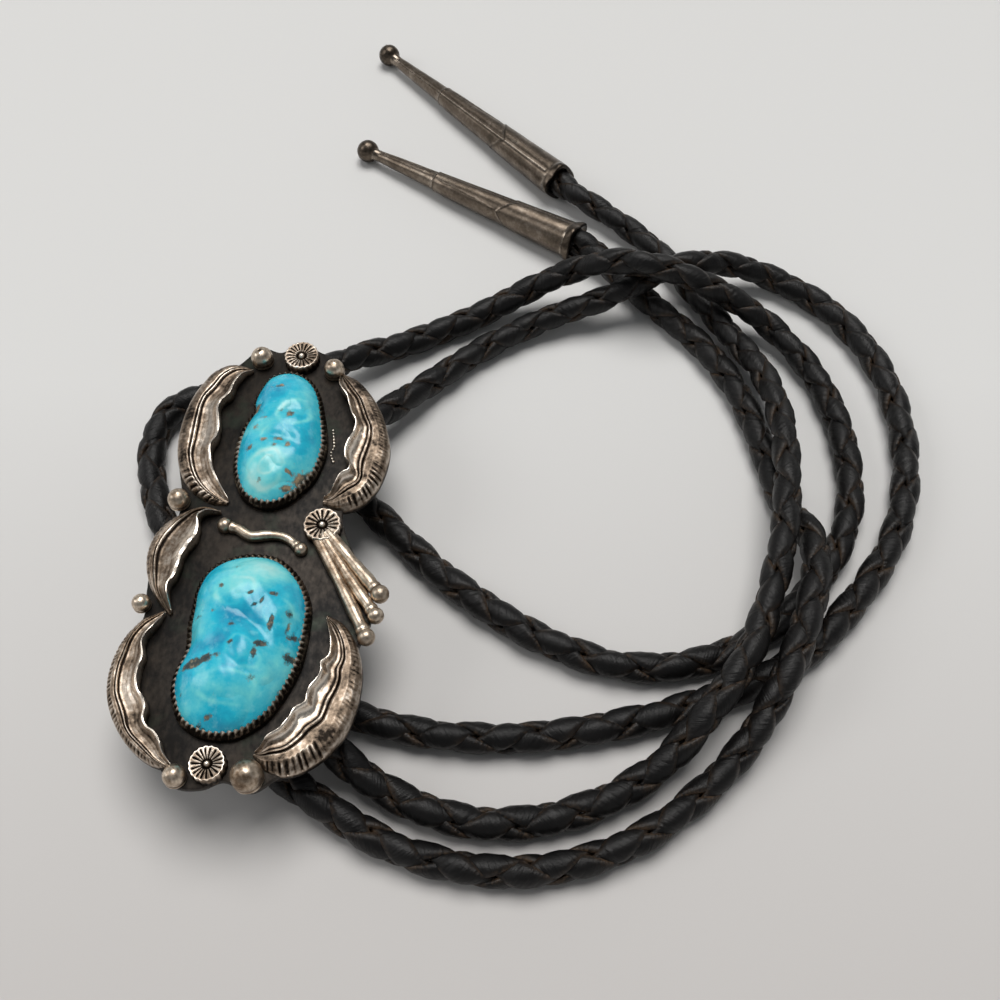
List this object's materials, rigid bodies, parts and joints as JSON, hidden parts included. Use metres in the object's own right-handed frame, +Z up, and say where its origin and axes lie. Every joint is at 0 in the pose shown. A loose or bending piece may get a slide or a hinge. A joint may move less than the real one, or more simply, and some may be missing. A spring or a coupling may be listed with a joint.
{
  "type": "bolo tie",
  "caption": "Bolo tie laid in loose loops: a two-lobe silver slide set with two turquoise nuggets, a braided leather cord and two cone tips with ball ends.",
  "frame": {"origin": "on the surface the tie lies on, under the middle of the box round its metal pieces and stones", "axes": "+Y up the slide towards its top lobe and the tips, +X to the slide's right, +Z up out of the surface"},
  "size_m": [0.1065, 0.145, 0.0155],
  "materials": {
    "silver": "tarnished silver, polished edges, dark oxidised field",
    "turquoise": "polished turquoise nugget with brown and black matrix",
    "clip_metal": "plain tarnished metal",
    "leather": "black round-braided leather with brown strand edges",
    "tip_silver": "tarnished silver"
  },
  "bodies": {
    "root": {"slide": "silver", "upper_stone": "turquoise", "lower_stone": "turquoise", "back_clip": "clip_metal", "cord": "leather", "tip_a": "tip_silver", "tip_b": "tip_silver"}
  },
  "joints": []
}
